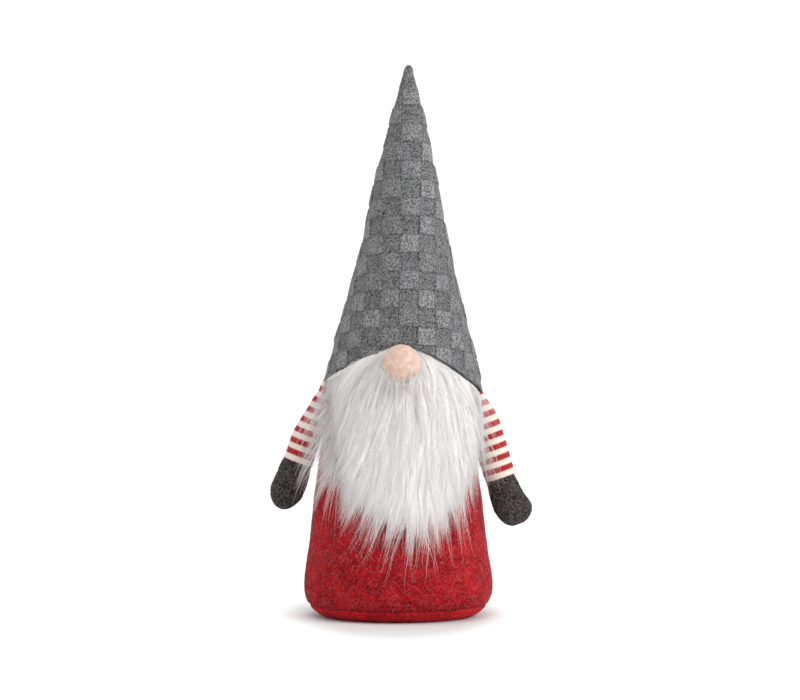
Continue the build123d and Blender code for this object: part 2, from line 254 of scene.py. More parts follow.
def make_mesh(name, points, quads, triangles, values=None, normals=None):
    """A smooth mesh in metres; values is {attribute name: one number for each point}."""
    mesh = bpy.data.meshes.new(name)
    corners = np.concatenate([np.ravel(quads), np.ravel(triangles)]).astype(np.int32)
    sizes = np.repeat((4, 3), (len(quads), len(triangles)))
    mesh.vertices.add(len(points))
    mesh.vertices.foreach_set("co", (points * MM).astype(np.float32).ravel())
    mesh.loops.add(len(corners))
    mesh.loops.foreach_set("vertex_index", corners)
    mesh.polygons.add(len(sizes))
    mesh.polygons.foreach_set("loop_start", (np.cumsum(sizes) - sizes).astype(np.int32))
    mesh.update(calc_edges=True)
    mesh.shade_smooth()
    for key, numbers in (values or {}).items():
        layer = mesh.attributes.new(key, "FLOAT", "POINT")
        layer.data.foreach_set("value", np.ravel(numbers).astype(np.float32))
    if normals is not None:
        mesh.normals_split_custom_set_from_vertices(normals)
    return mesh


def new_object(name, data):
    """An object in the scene that holds a mesh, a light or a camera."""
    obj = bpy.data.objects.new(name, data)
    bpy.context.scene.collection.objects.link(obj)
    return obj


def piece(name, mesh, material, slot, rides_on, replaces=()):
    """A piece of the gnome. rides_on is a body it rides on, or (body, body, start, end), which
    leaves the piece fixed in place.
    """
    obj = new_object(name, mesh)
    mesh.materials.append(material)
    if replaces:
        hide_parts(*replaces)
    if isinstance(rides_on, str):
        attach(obj, rides_on)
    else:
        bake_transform(obj)
    return obj


def padded_piece(name, form, fill, *look):
    """A padded piece; form is what make_mesh takes, and look what piece takes after the mesh."""
    obj = piece(name, make_mesh(name, *form), *look)


# Where the cloth starts and ends to turn about its joint
HAT_BLEND = ("root", "hat_tip", BEND - (0, 0, 50), BEND + (0, 0, 50))
BEARD_BLEND = ("root", "beard", BEARD_HINGE + (0, 0, 8), BEARD_HINGE - (0, 0, 22))


def scatter(rings, count, rng):
    """Random places and normals on the outside of rings, spread evenly over their area."""
    nxt = np.roll(rings, -1, axis=1)
    a, b, c = rings[:-1], nxt[:-1], rings[1:]
    cross = np.cross(b - a, c - a)
    weight = np.linalg.norm(cross, axis=-1)
    share = np.cumsum(weight.ravel()) / weight.sum()
    row, column = np.unravel_index(np.searchsorted(share, rng.random(count)), weight.shape)
    s, t = rng.random((2, count, 1))
    place = a[row, column] + s * (b - a)[row, column] + t * (c - a)[row, column]
    return place, unit(cross[row, column])


def lint(name, rings, count, length, radius, lift, rng, look):
    """Short curved fibres that lie on a surface with their ends a little raised."""
    place, normal = scatter(rings, count, rng)
    if (normal * (place - rings.mean(axis=(0, 1)))).sum() < 0:
        normal = -normal
    ahead = unit(np.cross(normal, rng.normal(size=(count, 3))))
    aside = np.cross(normal, ahead)
    t = np.linspace(0, 1, 5)[None, :, None]
    long = (length * rng.uniform(0.5, 1.3, count))[:, None, None]
    bend = rng.normal(0, 0.25, count)[:, None, None]
    high = (lift * rng.uniform(0.3, 1.6, count))[:, None, None]
    paths = (
        place[:, None]
        + ahead[:, None] * long * t
        + aside[:, None] * long * bend * t * t
        + normal[:, None] * (high * t * (1.4 - t) - 0.3 * radius)
    )
    piece(name, make_mesh(name, *tubes(paths, radius * (1 - 0.6 * t[..., 0]), normal)), *look)


# Materials


class Shader:
    """Short calls to build one material's nodes. Sizes of patterns are in millimetres."""

    def __init__(self, name, **sockets):
        self.material = bpy.data.materials.new(name)
        self.material.use_nodes = True
        self.tree = self.material.node_tree
        self.principled = self.tree.nodes["Principled BSDF"]
        for socket, value in sockets.items():
            self.principled.inputs[socket.replace("_", " ")].default_value = value

    def node(self, kind, inputs=None, **settings):
        made = self.tree.nodes.new("ShaderNode" + kind)
        for key, value in settings.items():
            setattr(made, key, value)
        for key, value in (inputs or {}).items():
            self.feed(made.inputs[key], value)
        return made

    def feed(self, socket, value):
        if isinstance(value, bpy.types.NodeSocket):
            self.tree.links.new(value, socket)
        else:
            socket.default_value = value

    def noise(self, size, detail=2.0, distortion=0.0, seed=0.0):
        place = self.node("TexCoord").outputs["Object"]
        settings = {"Vector": place, "W": seed, "Scale": 1 / (size * MM), "Detail": detail}
        made = self.node("TexNoise", {**settings, "Distortion": distortion}, noise_dimensions="4D")
        return made.outputs["Fac"]

    def math(self, operation, a, b=0.0, clamp=False):
        made = self.node("Math", {0: a, 1: b}, operation=operation, use_clamp=clamp)
        return made.outputs[0]

    def weighted(self, *parts):
        """The sum of (value, weight) parts."""
        total = self.math("MULTIPLY", *parts[0])
        for value, weight in parts[1:]:
            total = self.math("ADD", total, self.math("MULTIPLY", value, weight))
        return total

    def step(self, value, low, high):
        """0 below low, 1 above high and smooth between."""
        inputs = {"Value": value, "From Min": low, "From Max": high}
        made = self.node("MapRange", inputs, interpolation_type="SMOOTHSTEP")
        return made.outputs["Result"]

    def mix(self, factor, a, b):
        made = self.node("Mix", data_type="RGBA")
        for index, value in ((0, factor), (6, a), (7, b)):
            if isinstance(value, tuple):
                value = (*value, 1)
            self.feed(made.inputs[index], value)
        return made.outputs[2]

    def point_value(self, name):
        return self.node("Attribute", attribute_name=name).outputs["Fac"]

    def fibre_lines(self, size, width, seed):
        """Thin curly lines, as of single fibres that lie on felt."""
        wander = self.noise(size, 1.0, 1.2, seed)
        away = self.math("ABSOLUTE", self.math("SUBTRACT", wander, 0.5))
        line = self.math("SUBTRACT", 1.0, self.step(away, 0.0, width))
        gaps = self.step(self.noise(size * 0.8, 1.0, 0.0, seed + 5), 0.48, 0.6)
        return self.math("MULTIPLY", line, gaps)

    def colour(self, value):
        self.feed(self.principled.inputs["Base Color"], value)

    def bump(self, height, depth):
        inputs = {"Height": height, "Distance": depth * MM, "Strength": 1.0}
        self.feed(self.principled.inputs["Normal"], self.node("Bump", inputs).outputs["Normal"])


def hat_felt():
    """Grey wool felt: light and dark fibres mixed, lighter where the squares stand up, with painted
    shade darker along the creases between squares.
    """
    s = Shader("hat felt", Roughness=0.95, Specular_IOR_Level=0.1, Sheen_Weight=0.1)
    across, down = s.point_value("across"), s.point_value("down")
    column, row = s.math("FLOOR", across), s.math("FLOOR", down)
    inset = s.math("MINIMUM", s.math("PINGPONG", across, 0.5), s.math("PINGPONG", down, 0.5))
    flank = s.step(inset, 0.0, 0.06)
    up = s.math("PINGPONG", s.math("ADD", column, row), 1.0)
    square = s.node("CombineXYZ", {0: column, 1: row}).outputs[0]
    chance = s.node("TexWhiteNoise", {"Vector": square}).outputs["Value"]
    strength = s.math("ADD", 0.2, s.math("MULTIPLY", chance, 0.8))
    below_tip = s.step(down, *TIP_ROWS)
    strength = s.math("MULTIPLY", strength, s.math("ADD", 0.35, s.math("MULTIPLY", below_tip, 0.65)))
    raised = s.math("MULTIPLY", s.math("MULTIPLY", up, flank), strength)
    grain = s.step(s.noise(1.4, 1.0), 0.4, 0.6)
    fine = s.step(s.noise(0.8, 1.0, 0.0, 1.5), 0.36, 0.64)
    patches = s.noise(7.0, 2.0, 0.0, 3.0)
    pale = s.math("MULTIPLY", raised, s.math("ADD", 0.11, s.math("MULTIPLY", grain, 0.28)))
    # painted shade: the flank term makes the felt darker along the creases between the squares
    level = s.weighted((grain, 0.36), (fine, 0.26), (patches, 0.34), (flank, 0.08))
    level = s.math("SUBTRACT", s.math("ADD", level, pale), 0.195, clamp=True)
    colour = s.mix(level, (0.01, 0.01, 0.012), (0.27, 0.27, 0.273))
    lines = s.math("ADD", s.fibre_lines(4.0, 0.02, 11.0), s.fibre_lines(3.0, 0.02, 17.0))
    s.colour(s.mix(s.math("MULTIPLY", lines, 0.14, clamp=True), colour, (0.36, 0.36, 0.36)))
    s.bump(s.weighted((grain, 0.3), (raised, 1.0)), 1.1)
    return s.material


def red_felt(name, dark, light):
    """Red felt with soft clouds of lighter and darker red and pale stray fibres."""
    s = Shader(name, Roughness=0.95, Specular_IOR_Level=0.05, Sheen_Weight=0.07)
    s.principled.inputs["Sheen Tint"].default_value = (1, 0.3, 0.3, 1)
    clouds = s.step(s.noise(15.0, 3.0, 0.8), 0.3, 0.7)
    grain = s.step(s.noise(2.0, 3.0, 0.0, 2.0), 0.35, 0.66)
    colour = s.mix(s.weighted((clouds, 0.4), (grain, 0.6)), dark, light)
    lines = s.math("ADD", s.fibre_lines(5.0, 0.011, 4.0), s.fibre_lines(3.5, 0.012, 8.0))
    lines = s.math("ADD", lines, s.fibre_lines(7.0, 0.009, 23.0), clamp=True)
    s.colour(s.mix(s.math("MULTIPLY", lines, 0.05), colour, (0.5, 0.14, 0.15)))
    s.bump(s.weighted((grain, 1.0), (lines, 0.6)), 0.3)
    return s.material


def dark_felt():
    """Charcoal felt of the mittens."""
    s = Shader("dark felt", Roughness=0.95, Specular_IOR_Level=0.1, Sheen_Weight=0.08)
    grain = s.step(s.noise(1.7, 2.0, 0.0, 1.0), 0.42, 0.6)
    patches = s.noise(8.0, 2.0, 0.0, 6.0)
    level = s.weighted((grain, 0.75), (patches, 0.25))
    colour = s.mix(level, (0.001, 0.001, 0.001), (0.078, 0.064, 0.058))
    lines = s.math("ADD", s.fibre_lines(4.0, 0.02, 9.0), s.fibre_lines(3.0, 0.02, 19.0))
    s.colour(s.mix(s.math("MULTIPLY", lines, 0.3), colour, (0.16, 0.14, 0.13)))
    s.bump(s.math("ADD", grain, lines), 0.35)
    return s.material


def nose_cloth():
    """Soft peach cloth with a short nap."""
    s = Shader("nose cloth", Roughness=0.9, Specular_IOR_Level=0.15, Sheen_Weight=0.1)
    s.principled.inputs["Subsurface Weight"].default_value = 0.15
    s.principled.inputs["Subsurface Scale"].default_value = 2 * MM
    grain = s.step(s.noise(0.7, 3.0, 0.3), 0.35, 0.68)
    patches = s.step(s.noise(5.0, 2.0, 0.4, 2.0), 0.35, 0.7)
    level = s.weighted((grain, 0.4), (patches, 0.6))
    s.colour(s.mix(level, (0.51, 0.335, 0.26), (0.65, 0.495, 0.42)))
    s.bump(grain, 0.15)
    return s.material


def striped_knit():
    """Red and cream yarn, striped by the row of stitches."""
    s = Shader("striped knit", Roughness=0.85, Specular_IOR_Level=0.2, Sheen_Weight=0.25)
    twist = s.noise(0.5, 2.0, 0.5)
    red = s.mix(twist, (0.2, 0.005, 0.008), (0.45, 0.016, 0.022))
    cream = s.mix(twist, (0.6, 0.5, 0.43), (0.78, 0.69, 0.62))
    s.colour(s.mix(s.point_value("cream"), red, cream))
    s.bump(twist, 0.15)
    return s.material


def fur_hair():
    """White hair, lighter or darker at random by lock and hair, with painted shade: greyer at its
    root and deeper in the coat.
    """
    s = Shader("fur hair", Roughness=0.6, Specular_IOR_Level=0.2)
    s.colour(s.mix(s.point_value("tone"), (0.66, 0.63, 0.62), (0.86, 0.836, 0.823)))
    return s.material


def woven_backing():
    """Off-white woven cloth behind the fur."""
    s = Shader("woven backing", Roughness=0.9, Specular_IOR_Level=0.2)
    weave = s.noise(0.8, 2.0, 0.0)
    s.colour(s.mix(weave, (0.62, 0.6, 0.57), (0.85, 0.83, 0.8)))
    s.bump(weave, 0.2)
    return s.material


def plain(name, dark, light, size, roughness=0.6, metallic=0.0):
    """A material whose colour wanders between two tones, with a fine bump."""
    s = Shader(name, Roughness=roughness, Metallic=metallic)
    mottle = s.noise(size)
    s.colour(s.mix(mottle, dark, light))
    s.bump(mottle, 0.05)
    return s.material


TIP_ROWS = (-11.5, -7.5)  # rows of squares over which the check fades towards the hat's tip
HAT_FELT = hat_felt()
RED_FELT = red_felt("red felt", (0.1, 0.0022, 0.0035), (0.41, 0.011, 0.016))
# The same red felt painted lighter for the foot panel: painted light that makes up for the shade low
# down by the floor.
FOOT_FELT_PAINTED_LIGHTER = red_felt("red felt painted lighter for the foot", (0.17, 0.004, 0.006), (0.62, 0.018, 0.026))
DARK_FELT = dark_felt()
NOSE_CLOTH = nose_cloth()
KNIT = striped_knit()
FUR = fur_hair()
BACKING = woven_backing()
GREY_LIGHT = plain("grey fibre", (0.30, 0.30, 0.31), (0.5, 0.5, 0.5), 3.0, 0.8)
RED_PALE = plain("pale red fibre", (0.34, 0.05, 0.06), (0.66, 0.27, 0.28), 3.0, 0.8)
DARK_PALE = plain("charcoal fibre", (0.06, 0.05, 0.05), (0.22, 0.19, 0.18), 3.0, 0.8)
RED_THREAD = plain("red thread", (0.2, 0.006, 0.008), (0.4, 0.015, 0.02), 1.0, 0.6)
GREY_THREAD = plain("grey thread", (0.08, 0.08, 0.085), (0.2, 0.2, 0.21), 1.0, 0.6)
WHITE_THREAD = plain("white thread", (0.7, 0.68, 0.66), (0.85, 0.84, 0.82), 1.0, 0.6)
CARD = plain("grey card", (0.30, 0.26, 0.21), (0.42, 0.37, 0.3), 2.0, 0.9)
PELLETS = plain("plastic pellets", (0.55, 0.55, 0.55), (0.8, 0.8, 0.8), 3.0, 0.4)
STEEL = plain("steel wire", (0.45, 0.45, 0.46), (0.6, 0.6, 0.61), 2.0, 0.3, 1.0)


# Body


def dents(points, depth, size, seed):
    """Broad soft unevenness of a stuffed surface."""
    return depth * soft_noise(points, size, seed) + 0.4 * depth * soft_noise(points, size / 3, seed)


def seam_dip(distance, depth=1.1, width=1.1):
    """How far a surface sinks into a seam at a distance from it."""
    return depth * np.exp(-((distance / width) ** 2))


def body_surface(heights):
    """Rings of the body's outside at heights, from the base seam to the crown."""
    angle = full_turn(BODY_COLUMNS)
    z = np.asarray(heights)[:, None]
    radius = body_radius(z)
    smooth = around(radius, angle, z)
    swell = dents(smooth, 1.1, 46, 3) * ease((z - SEAM_Z) / 12)
    back = np.abs(wrapped(angle - math.pi)) * radius
    pucker = 0.3 * np.cos(angle * 65) * np.exp(-np.abs(z - SEAM_Z) / 3)
    radius = radius + swell + pucker - seam_dip(z - SEAM_Z, 1.6) - seam_dip(back)
    return around(radius, angle, z)


def body_cover():
    """The red cover, from the base seam to its crown inside the hat."""
    heights = np.concatenate([np.arange(SEAM_Z + 0.5, 205, 1.6), np.arange(206, CROWN_Z - 2, 4)])
    side = body_surface(heights)
    cap_radius = np.array([[16.0], [6.0]])
    cap_height = CROWN_Z - np.array([[0.6], [0.1]])
    rings = np.concatenate([side, around(cap_radius, full_turn(BODY_COLUMNS), cap_height)])
    padded_piece("body_cover_felt", closed_form(felt_bag(rings)), 0.9, RED_FELT, "red_felt", "root",
                 ("body_cover", "body_stuffing"))
    rng = np.random.default_rng(11)
    visible = side[: np.searchsorted(heights, BRIM_LOW)]
    lint("body_lint", visible, 8900, length=6.0, radius=0.075, lift=0.3, rng=rng,
         look=(RED_PALE, "red_felt", "root"))


def base_panel():
    """The panel under the foot, turned up to the seam."""
    angle = full_turn(BODY_COLUMNS)
    turn_up = np.array([SEAM_Z - 0.5, *np.linspace(SEAM_Z - 1.6, 1.0, 12), 0.35])
    side = body_surface(turn_up)
    foot = body_radius(0.4)
    flat = np.array([foot - 3, foot - 8, 48, 36, 24, 12, 4])[:, None]
    floor = around(flat, angle, 0.02)
    rings = np.concatenate([side, floor])
    # painted light: the foot panel uses a lighter copy of the red felt
    padded_piece("base_panel_felt", closed_form(felt_bag(rings, skip=2)), 0.9, FOOT_FELT_PAINTED_LIGHTER, "red_felt",
                 "root", ("base_panel",))


def stitches(name, starts, ends, up, *look):
    """A row of stitches as short bowed threads between start and end points."""
    t = np.linspace(0, 1, 7)[None, :, None]
    rise = np.sin(math.pi * t) * 0.55 - 0.35
    paths = starts[:, None] * (1 - t) + ends[:, None] * t + up[:, None] * rise
    radii = 0.3 * np.sin(math.pi * (0.08 + 0.84 * t[..., 0])) ** 0.3
    piece(name, make_mesh(name, *tubes(paths, radii, up)), *look)


def base_seam():
    """Stitches round the foot, where the base panel meets the cover."""
    count = 120
    angle = full_turn(count)
    radius = body_radius(SEAM_Z) - 1.1
    reach = 0.32 * 2 * math.pi / count
    starts, ends = (around(radius, angle + aside, SEAM_Z) for aside in (-reach, reach))
    stitches("base_seam_thread", starts, ends, around(1.0, angle, 0.0), RED_THREAD, "red_thread",
             "root", ("base_seam_stitches",))


def body_back_seam():
    """Stitches up the back, from above the foot to under the brim."""
    pitch, length, sunk = 5.0, 3.2, 0.6
    z = np.arange(26.0, BRIM_LOW - 3, pitch)
    up = np.tile((0.0, 1.0, 0.0), (len(z), 1))
    low = around(body_radius(z) - sunk, math.pi, z)
    high = around(body_radius(z + length) - sunk, math.pi, z + length)
    stitches("body_seam_thread", low, high, up, RED_THREAD, "red_thread", "root",
             ("body_seam_stitches",))


# Hat

HAT_SLANT = 13.2 * DEG
SQUARE = 16.25  # side of a square of the check
SQUARE_ROW_Z = 303.4  # a row of squares starts at this height
SQUARE_SHIFT = 1.27  # and its columns stand this many squares aside
SQUARE_EDGE = 1.25  # width of the slope between two squares
RELIEF = 2.1  # height of the raised squares over the pressed ones
# The brim's edge as (angle from the front, height), and how the cone swells as (height, radius)
BRIM = ((-180, BRIM_LOW), (-80, 203), (-20, 233), (0, 241.5), (20, 233.5), (80, BRIM_LOW),
        (180, BRIM_LOW))
HAT_WAIST = ((198, -0.6), (234, -0.5), (285, -1.8), (330, -1.8), (400, 0.0), (445, -0.1),
             (472, -1.3))


def brim_height(angle):
    """Height of the brim's edge at an angle from the front."""
    return curve(BRIM, wrapped(angle) / DEG)


def hat_radius(z):
    """Radius of the hat at a height, closing at the rounded tip."""
    shoulder = HAT_PROFILE[-1][0]
    below = curve(HAT_PROFILE, z) + curve(HAT_WAIST, z)
    below = below + np.maximum(HAT_PROFILE[0][0] - z, 0) * math.tan(HAT_SLANT)
    cap = np.sqrt(np.clip(1 - ((z - shoulder) / (TOP - shoulder)) ** 2, 0, 1))
    return np.where(z < shoulder, below, below * cap)


def check(angle, z):
    """Squares counted across and down the felt's flat cut, with its slope unrolled."""
    apex = SQUARE_ROW_Z + hat_radius(np.array(SQUARE_ROW_Z)) / math.tan(HAT_SLANT)
    slant = (apex - z) / math.cos(HAT_SLANT)
    turn = wrapped(angle) * math.sin(HAT_SLANT)
    first_row = (apex - SQUARE_ROW_Z) / math.cos(HAT_SLANT)
    across = slant * np.sin(turn) / SQUARE + SQUARE_SHIFT
    return across, (slant * np.cos(turn) - first_row) / SQUARE


def embossed(across, down, rng):
    """How far the felt stands up, from -1, pressed, to 1, raised."""
    column, row = np.floor(across).astype(int), np.floor(down).astype(int)
    inset = [np.minimum(v - np.floor(v), np.ceil(v) - v) * SQUARE for v in (across, down)]
    flank = ease(inset[0] / SQUARE_EDGE) * ease(inset[1] / SQUARE_EDGE)
    sign = np.where((column + row) % 2, 1.0, -1.0)
    count = 64
    strength = rng.uniform(0.35, 1.0, (count, count))[column % count, row % count]
    return sign * flank * strength


def hat_rings(rng):
    """Rings of the hat's outside from the brim to the tip, and the squares' places on them.

    The brim is tucked in at the back, but stays clear of the body and of the sleeves' tops.
    """
    side_rows, cap_rows = 212, 12
    angle = full_turn(HAT_COLUMNS) + math.pi / HAT_COLUMNS
    edge = brim_height(angle)
    shoulder = HAT_PROFILE[-1][0]
    side = edge + np.linspace(0, 1, side_rows)[:, None] * (shoulder - edge)
    cap = shoulder + (TOP - shoulder) * np.sin(np.linspace(0, 1.5, cap_rows)[1:, None])
    z = np.concatenate([side, cap + np.zeros_like(edge)])
    squares = check(angle, z)
    raised = embossed(*squares, rng)
    radius = hat_radius(z)
    back = np.abs(wrapped(angle - math.pi))
    behind = ease((1.2 - back) / 0.8)
    tucked = 5.0 * behind * ease((250 - z) / 55)
    smooth = around(radius, angle, z, hat_middle(z))
    fade = ease((TOP - z) / 60)
    swell = dents(smooth, 1.3, 52, 9) * fade
    bulk = RELIEF / 2 * raised * (0.15 + 0.85 * fade)
    dip = seam_dip(back * radius, 1.3, 1.3) * ease(radius / 12)
    radius = np.maximum(radius - tucked + swell + bulk - dip, 0.2)
    sleeve_room = 1.6 * np.exp(-(((np.abs(wrapped(angle)) - math.pi / 2) / 0.2) ** 2))
    clear = body_radius(z) + FELT + 1.4 + sleeve_room - hat_middle(z) * np.sin(angle)
    radius = np.where(z < BRIM_LOW + 26, np.maximum(radius, clear), radius)
    return around(radius, angle, z, hat_middle(z)), squares


def hat():
    """The felt cone with its lint and its back seam."""
    rng = np.random.default_rng(5)
    rings, squares = hat_rings(rng)
    bag = felt_bag(rings, skip=20)
    inner = (len(bag) - len(rings)) * HAT_COLUMNS
    places = [np.concatenate([np.zeros(inner), v.ravel(), (0, v[-1, 0])]) for v in squares]
    values = {"across": places[0], "down": places[1]}
    form = (*closed_form(bag), values)
    padded_piece("hat_felt_cone", form, 0.85, HAT_FELT, "grey_felt", HAT_BLEND,
                 ("hat_cone", "hat_tip_cone", "hat_stuffing", "hat_tip_stuffing"))
    lint("hat_lint", rings, 6500, length=3.6, radius=0.08, lift=0.4, rng=rng,
         look=(GREY_LIGHT, "grey_felt", HAT_BLEND))
    back = rings[:, HAT_COLUMNS // 2]
    z = np.arange(BRIM_LOW + 7, TOP - 28, 4.6)
    low, high = (back[np.searchsorted(back[:, 2], start)] for start in (z, z + 3))
    up = np.tile((0.0, 1.0, 0.2), (len(z), 1))
    stitches("hat_seam_thread", low + up * 0.3, high + up * 0.3, up, GREY_THREAD, "grey_thread",
             HAT_BLEND, ("hat_seam_stitches", "hat_tip_seam_stitches"))


# Nose


def nose():
    """A stuffed ball of cloth, gathered behind."""
    rng = np.random.default_rng(21)
    turn = full_turn(120)
    tilt = np.linspace(0.03, math.pi - 0.03, 84)[:, None]
    gather = ease((tilt - 2.1) / 0.8) * 0.05 * np.cos(11 * turn)
    radius = NOSE_R * (1 + gather - 0.06 * ease((tilt - 2.2) / 0.9))
    upright = around(radius * np.sin(tilt), turn, radius * np.cos(tilt))
    ball = upright[..., [0, 2, 1]] * (1, -1, -1)
    ball *= 1 + (0.012 * soft_noise(ball, 9, 2) + 0.004 * soft_noise(ball, 2.2, 4))[..., None]
    rings = NOSE + ball
    padded_piece("nose_ball", closed_form(rings), 0.95, NOSE_CLOTH, "nose_cloth", "root",
                 ("nose_cover", "nose_stuffing"))
    front_rings = 60
    lint("nose_nap", rings[:front_rings], 1500, length=1.3, radius=0.05, lift=0.25, rng=rng,
         look=(NOSE_CLOTH, "nose_cloth", "root"))


# Arms

COURSE = 1.65  # height of a row of stitches
STRIPE = 3  # rows in a stripe
# (distance down the arm or share of the mitten, half width or half depth)
ARM_WIDTH = ((0, 2.6), (6, 3.6), (14, 6.2), (26, 9.4), (38, 11.8), (50, 12.9), (68, 13.0))
ARM_DEPTH = ((0, 4.0), (8, 7.6), (20, 10.0), (36, 11.3), (56, 11.0), (68, 10.2))
ARM_SHOULDER = {  # how much fuller the sleeve's outer side is
    "right": ((0, 2.3), (9, 1.8), (18, 0.85), (30, 0.15), (45, 0), (90, 0)),
    "left": ((0, 7.5), (10, 8.2), (20, 7.2), (36, 4.4), (50, 2.2), (68, 1.2), (90, 1.0)),
}
MITTEN_WIDTH = ((0, 12.4), (0.12, 13.4), (0.35, 14.4), (0.6, 14.6), (1, 13.4))
MITTEN_CORNER = {"right": 1.0, "left": 7.0}
MITTEN_DEPTH = ((0, 9.4), (0.2, 10.0), (0.6, 9.8), (1, 9.0))


class ArmFrame:
    """One arm's own directions, from the joint to the mitten's end."""

    def __init__(self, side):
        self.side = side
        self.hinge = JOINT_AT[side + "_arm_raise"]
        self.out = np.sign(self.hinge[0])
        cuff_low, cuff_high = box_of(side + "_cuff_stitches")
        self.cuff_at = (cuff_low + cuff_high) / 2
        self.down = unit(self.cuff_at - self.hinge)
        self.across = np.cross(FRONT, self.down) * self.out
        self.cuff = np.linalg.norm(self.cuff_at - self.hinge)
        mitten_points = frame["nodes"][side + "_mitten"].data.vertices
        self.length = max((np.array(v.co) / MM - self.hinge) @ self.down for v in mitten_points)

    def oval(self, turn, width, depth, s, further=0.0):
        """Points round the arm at s down it, from its half width and depth, or further outwards."""
        x, y, s = np.broadcast_arrays(width * np.cos(turn) + further, depth * np.sin(turn), s)
        sideways = x[..., None] * self.across + y[..., None] * FRONT
        return self.hinge + sideways + s[..., None] * self.down


def stocking_stitch(turns, rows):
    """Height from 0 to 1 and row number of knitted loops at a place counted in wales and rows."""
    across = turns - np.floor(turns)
    leg = np.abs(across - 0.5) * 2
    slanted = rows - 0.55 * leg
    part = slanted - np.floor(slanted)
    height = np.sin(math.pi * part) ** 0.6 * (0.35 + 0.65 * np.sin(math.pi * leg) ** 0.5)
    return height, np.floor(slanted)


def stripes(row):
    """Which points of a knitted form are cream, by their row of stitches."""
    cream = (row // STRIPE) % 2 == 0
    return {"cream": np.append(cream.ravel(), (0, 1))}


def sleeve(arm):
    """The knitted tube from its gathered top to the cuff."""
    wales = 36
    columns = wales * 6
    turn = full_turn(columns)
    s = np.linspace(0, arm.cuff, 205)[:, None]
    stretch = arm.cuff / ARM_WIDTH[-1][0]
    width, depth = curve(ARM_WIDTH, s / stretch), curve(ARM_DEPTH, s / stretch)
    height, row = stocking_stitch(turn * wales / (2 * math.pi), (arm.cuff - s) / COURSE)
    thick = 0.75 * ease(s / 14) * height
    smooth = arm.oval(turn, width, depth, s)
    uneven = dents(smooth, 0.7, 22, 6 + arm.out) * ease(s / 20)
    width, depth = width - 0.6 + thick + uneven, depth - 0.6 + thick + uneven
    width = width + curve(ARM_SHOULDER[arm.side], s) * (np.cos(turn) > 0)
    rings = arm.oval(turn, width, depth, s)
    form = (*closed_form(rings), stripes(row))
    padded_piece(arm.side + "_sleeve_knit", form, 0.8, KNIT, "knit", arm.side + "_arm",
                 (arm.side + "_sleeve", arm.side + "_sleeve_stuffing"))


def sleeve_top(arm):
    """Flat knitted end of the sleeve that goes up between the body and the brim."""
    wales = 14
    turn = full_turn(90)
    s = np.linspace(-11.5, 1.5, 60)[:, None]
    height, row = stocking_stitch(turn * wales / (2 * math.pi), (arm.cuff - s) / COURSE)
    thick = 0.4 * height
    fuller = (curve(ARM_SHOULDER[arm.side], 0) + 1.0) * (np.cos(turn) > 0)
    outer = 1.2 + fuller * ease((s + 13) / 13)
    half_depth = 5.2 + 1.8 * ease(-s / 8)
    rings = arm.oval(turn, outer + thick, half_depth + thick, s)
    rings[..., 0] -= arm.out * 0.12 * s
    name = arm.side + "_sleeve_top"
    mesh = make_mesh(name, *closed_form(rings), stripes(row))
    piece(name, mesh, KNIT, "knit", "root", (arm.side + "_sleeve_end",))


def mitten(arm):
    """The felt mitten, sewn along both edges."""
    rng = np.random.default_rng(41)
    turn = full_turn(120)
    long = arm.length - arm.cuff
    s = np.sin(np.linspace(0, 1.55, 84))[:, None]
    round_from = 0.52
    beyond = np.clip((s - round_from) / (1 - round_from), 0, 1)
    rounding = np.clip(1 - beyond**2.3, 0, 1) ** 0.5
    width = curve(MITTEN_WIDTH, s) * rounding
    depth = curve(MITTEN_DEPTH, s) * rounding
    smooth = arm.oval(turn, width, depth, arm.cuff + s * long)
    uneven = dents(smooth, 0.7, 18, 12 + arm.out)
    from_edge = 10 * np.minimum(np.abs(wrapped(turn)), np.abs(wrapped(turn - math.pi)))
    grow = uneven - seam_dip(from_edge, 0.7, 0.9) * ease(s / 0.1)
    width, depth = np.maximum(width + grow, 0.1), np.maximum(depth + grow, 0.1)
    outer = np.maximum(np.cos(turn), 0) ** 2
    corner = MITTEN_CORNER[arm.side] * ease((s - 0.25) / 0.65) * rounding**0.3 * outer
    rings = arm.oval(turn, width, depth, arm.cuff - 0.4 + s * long, corner)
    padded_piece(arm.side + "_mitten_felt", closed_form(rings), 0.8, DARK_FELT, "dark_felt",
                 arm.side + "_arm", (arm.side + "_mitten", arm.side + "_mitten_stuffing"))
    lint(arm.side + "_mitten_lint", rings, 1300, length=3.2, radius=0.07, lift=0.4, rng=rng,
         look=(DARK_PALE, "dark_felt", arm.side + "_arm"))


def cuff_seam(arm):
    """Stitches that join the mitten to the sleeve."""
    count = 22
    turn = full_turn(count)
    out = arm.oval(turn, 1.0, 1.0, 0.0) - arm.hinge
    width, depth = MITTEN_WIDTH[0][1] + 0.1, MITTEN_DEPTH[0][1] + 0.3
    low = arm.oval(turn, width, depth, arm.cuff + 1.6)
    high = arm.oval(turn + 0.1, width, depth, arm.cuff - 1.0)
    stitches(arm.side + "_cuff_thread", low, high, out, GREY_THREAD, "grey_thread",
             arm.side + "_arm", (arm.side + "_cuff_stitches",))


# Beard

FUR_DEPTH = 12.5
LOCK_LENGTH = 66.0
LOCK_STEPS = 15  # points along a lock
HAIR_STEPS = 8  # points along a hair
FUR_PIECES = 9
SIDE_LOCKS = {-1: (150, 134, 46), 1: (130, 152, 40)}  # count, lowest root and greatest lean
SIDE_REACH = 91.0  # how far aside the locks at the sides end
